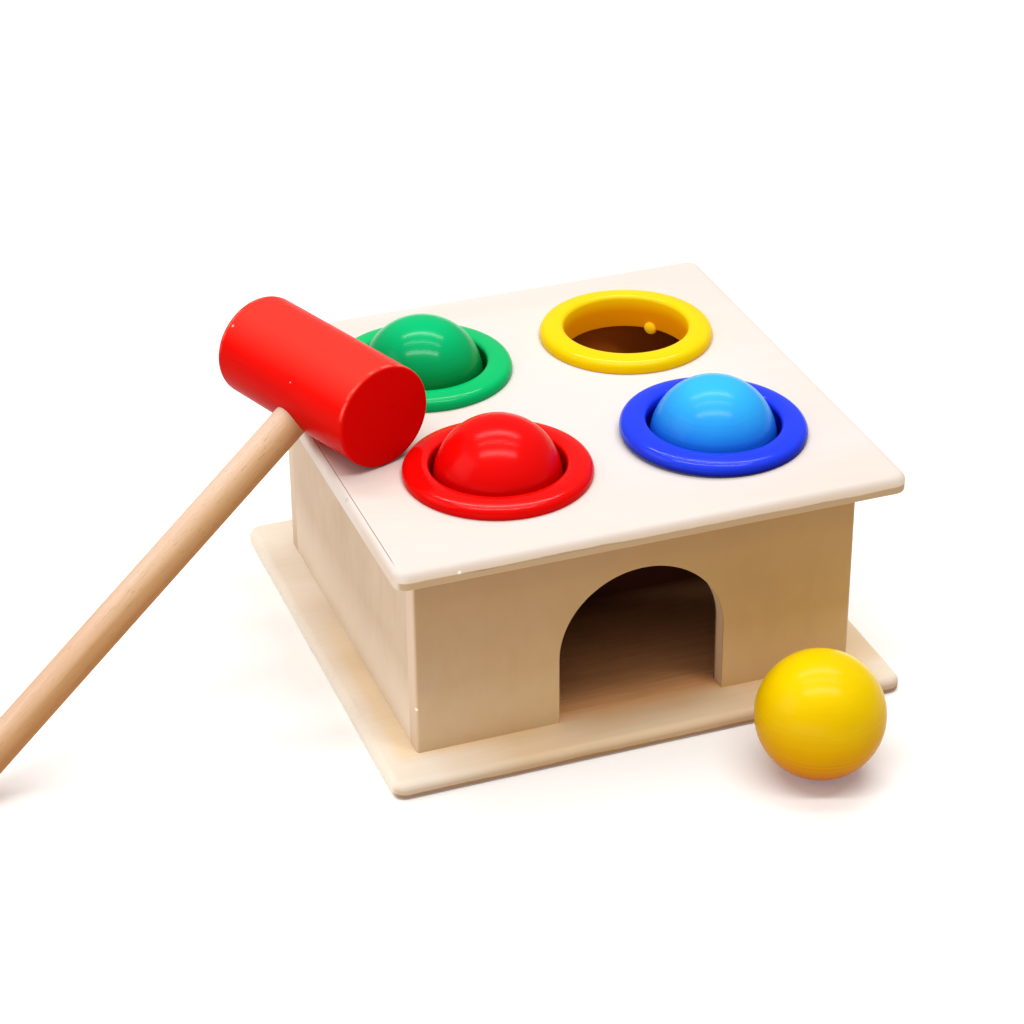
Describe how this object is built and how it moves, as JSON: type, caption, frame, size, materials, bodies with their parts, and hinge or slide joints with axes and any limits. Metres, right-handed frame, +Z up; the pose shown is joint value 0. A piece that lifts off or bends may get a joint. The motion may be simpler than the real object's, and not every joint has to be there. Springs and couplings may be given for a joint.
{
  "type": "ball hammering bench",
  "caption": "Wooden hammering toy: a plywood box with an arched doorway, plastic rings in its top that hold painted balls, and a loose mallet leaning on it.",
  "frame": {"origin": "on the table, under the middle of the base board", "axes": "+X to the right seen from the doorway side, +Y from the doorway to the back, +Z up"},
  "size_m": [0.2526, 0.1829, 0.0954],
  "materials": {
    "base_ply": "smooth sanded plywood with a thin clear lacquer",
    "wall_ply": "smooth sanded plywood with a thin clear lacquer",
    "top_ply": "smooth sanded pale plywood with a thin clear lacquer",
    "red_plastic": "glossy moulded plastic",
    "green_plastic": "glossy moulded plastic",
    "blue_plastic": "glossy moulded plastic",
    "yellow_plastic": "glossy moulded plastic",
    "red_paint": "turned wood with glossy red paint",
    "green_paint": "turned wood with glossy green paint",
    "blue_paint": "turned wood with glossy sky blue paint",
    "yellow_paint": "turned wood with glossy yellow paint",
    "mallet_red_paint": "turned wood with glossy red paint",
    "beech": "bare sanded beech",
    "dowel_beech": "bare beech, glued in",
    "zinc_steel": "zinc plated steel"
  },
  "bodies": {
    "bench": {"base_board": "base_ply", "front_wall": "wall_ply", "back_wall": "wall_ply", "left_wall": "wall_ply", "right_wall": "wall_ply", "top_board": "top_ply", "red_ring": "red_plastic", "green_ring": "green_plastic", "blue_ring": "blue_plastic", "yellow_ring": "yellow_plastic", "red_ring_lugs": "red_plastic", "green_ring_lugs": "green_plastic", "blue_ring_lugs": "blue_plastic", "yellow_ring_lugs": "yellow_plastic", "base_screws": "zinc_steel", "corner_dowels": "dowel_beech", "top_dowels": "dowel_beech"},
    "red_ball": {"red_ball": "red_paint"},
    "green_ball": {"green_ball": "green_paint"},
    "blue_ball": {"blue_ball": "blue_paint"},
    "yellow_ball": {"yellow_ball": "yellow_paint"},
    "mallet": {"mallet_head": "mallet_red_paint", "mallet_handle": "beech"}
  },
  "joints": [
    {"name": "red_ball_drop", "type": "slide", "parent": "bench", "child": "red_ball", "axis": [0, 0, -1], "range_m": [0, 0.0439], "deforming": ["red_ring_lugs"]},
    {"name": "green_ball_drop", "type": "slide", "parent": "bench", "child": "green_ball", "axis": [0, 0, -1], "range_m": [0, 0.0439], "deforming": ["green_ring_lugs"]},
    {"name": "blue_ball_drop", "type": "slide", "parent": "bench", "child": "blue_ball", "axis": [0, 0, -1], "range_m": [0, 0.0439], "deforming": ["blue_ring_lugs"]},
    {"name": "yellow_ball_roll", "type": "slide", "parent": "bench", "child": "yellow_ball", "axis": [0.68, -0.7332, 0], "range_m": [0, 0.12]},
    {"name": "mallet_lift", "type": "slide", "parent": "bench", "child": "mallet", "axis": [0, 0, 1], "range_m": [0, 0.12]}
  ]
}
